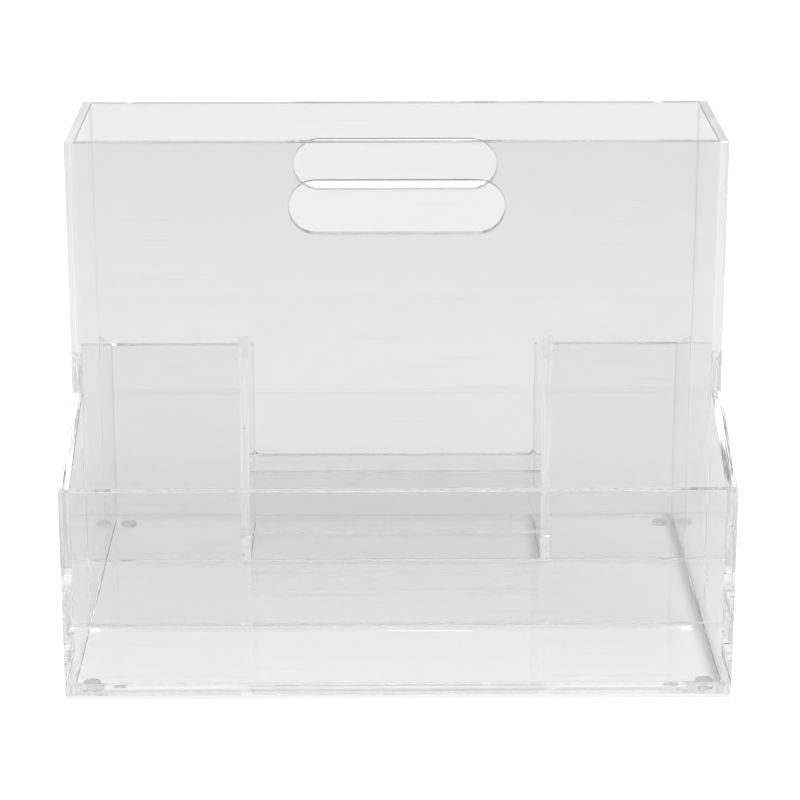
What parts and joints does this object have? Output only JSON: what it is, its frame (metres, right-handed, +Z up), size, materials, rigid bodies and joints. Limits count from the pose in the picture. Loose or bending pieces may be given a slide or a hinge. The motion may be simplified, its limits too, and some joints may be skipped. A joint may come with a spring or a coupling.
{
  "type": "desk organizer",
  "caption": "Clear acrylic desk organizer with a front tray, a tall file slot with handle holes, and low pockets behind, bonded from flat sheets on small bumper feet.",
  "frame": {"origin": "on the desk surface, under the middle of the footprint", "axes": "+Z up, the front tray faces -Y, +X to the right as seen from the front"},
  "size_m": [0.318, 0.249, 0.254],
  "materials": {
    "clear_acrylic": "clear cast sheet with polished edges",
    "bumper_foot": "clear soft polyurethane"
  },
  "bodies": {
    "root": {"base_plate": "clear_acrylic", "front_wall": "clear_acrylic", "rear_wall": "clear_acrylic", "left_side_panel": "clear_acrylic", "right_side_panel": "clear_acrylic", "front_tall_panel": "clear_acrylic", "rear_tall_panel": "clear_acrylic", "left_divider": "clear_acrylic", "right_divider": "clear_acrylic", "low_cross_wall": "clear_acrylic", "bumper_foot_front_left": "bumper_foot", "bumper_foot_front_right": "bumper_foot", "bumper_foot_rear_left": "bumper_foot", "bumper_foot_rear_right": "bumper_foot"}
  },
  "joints": []
}
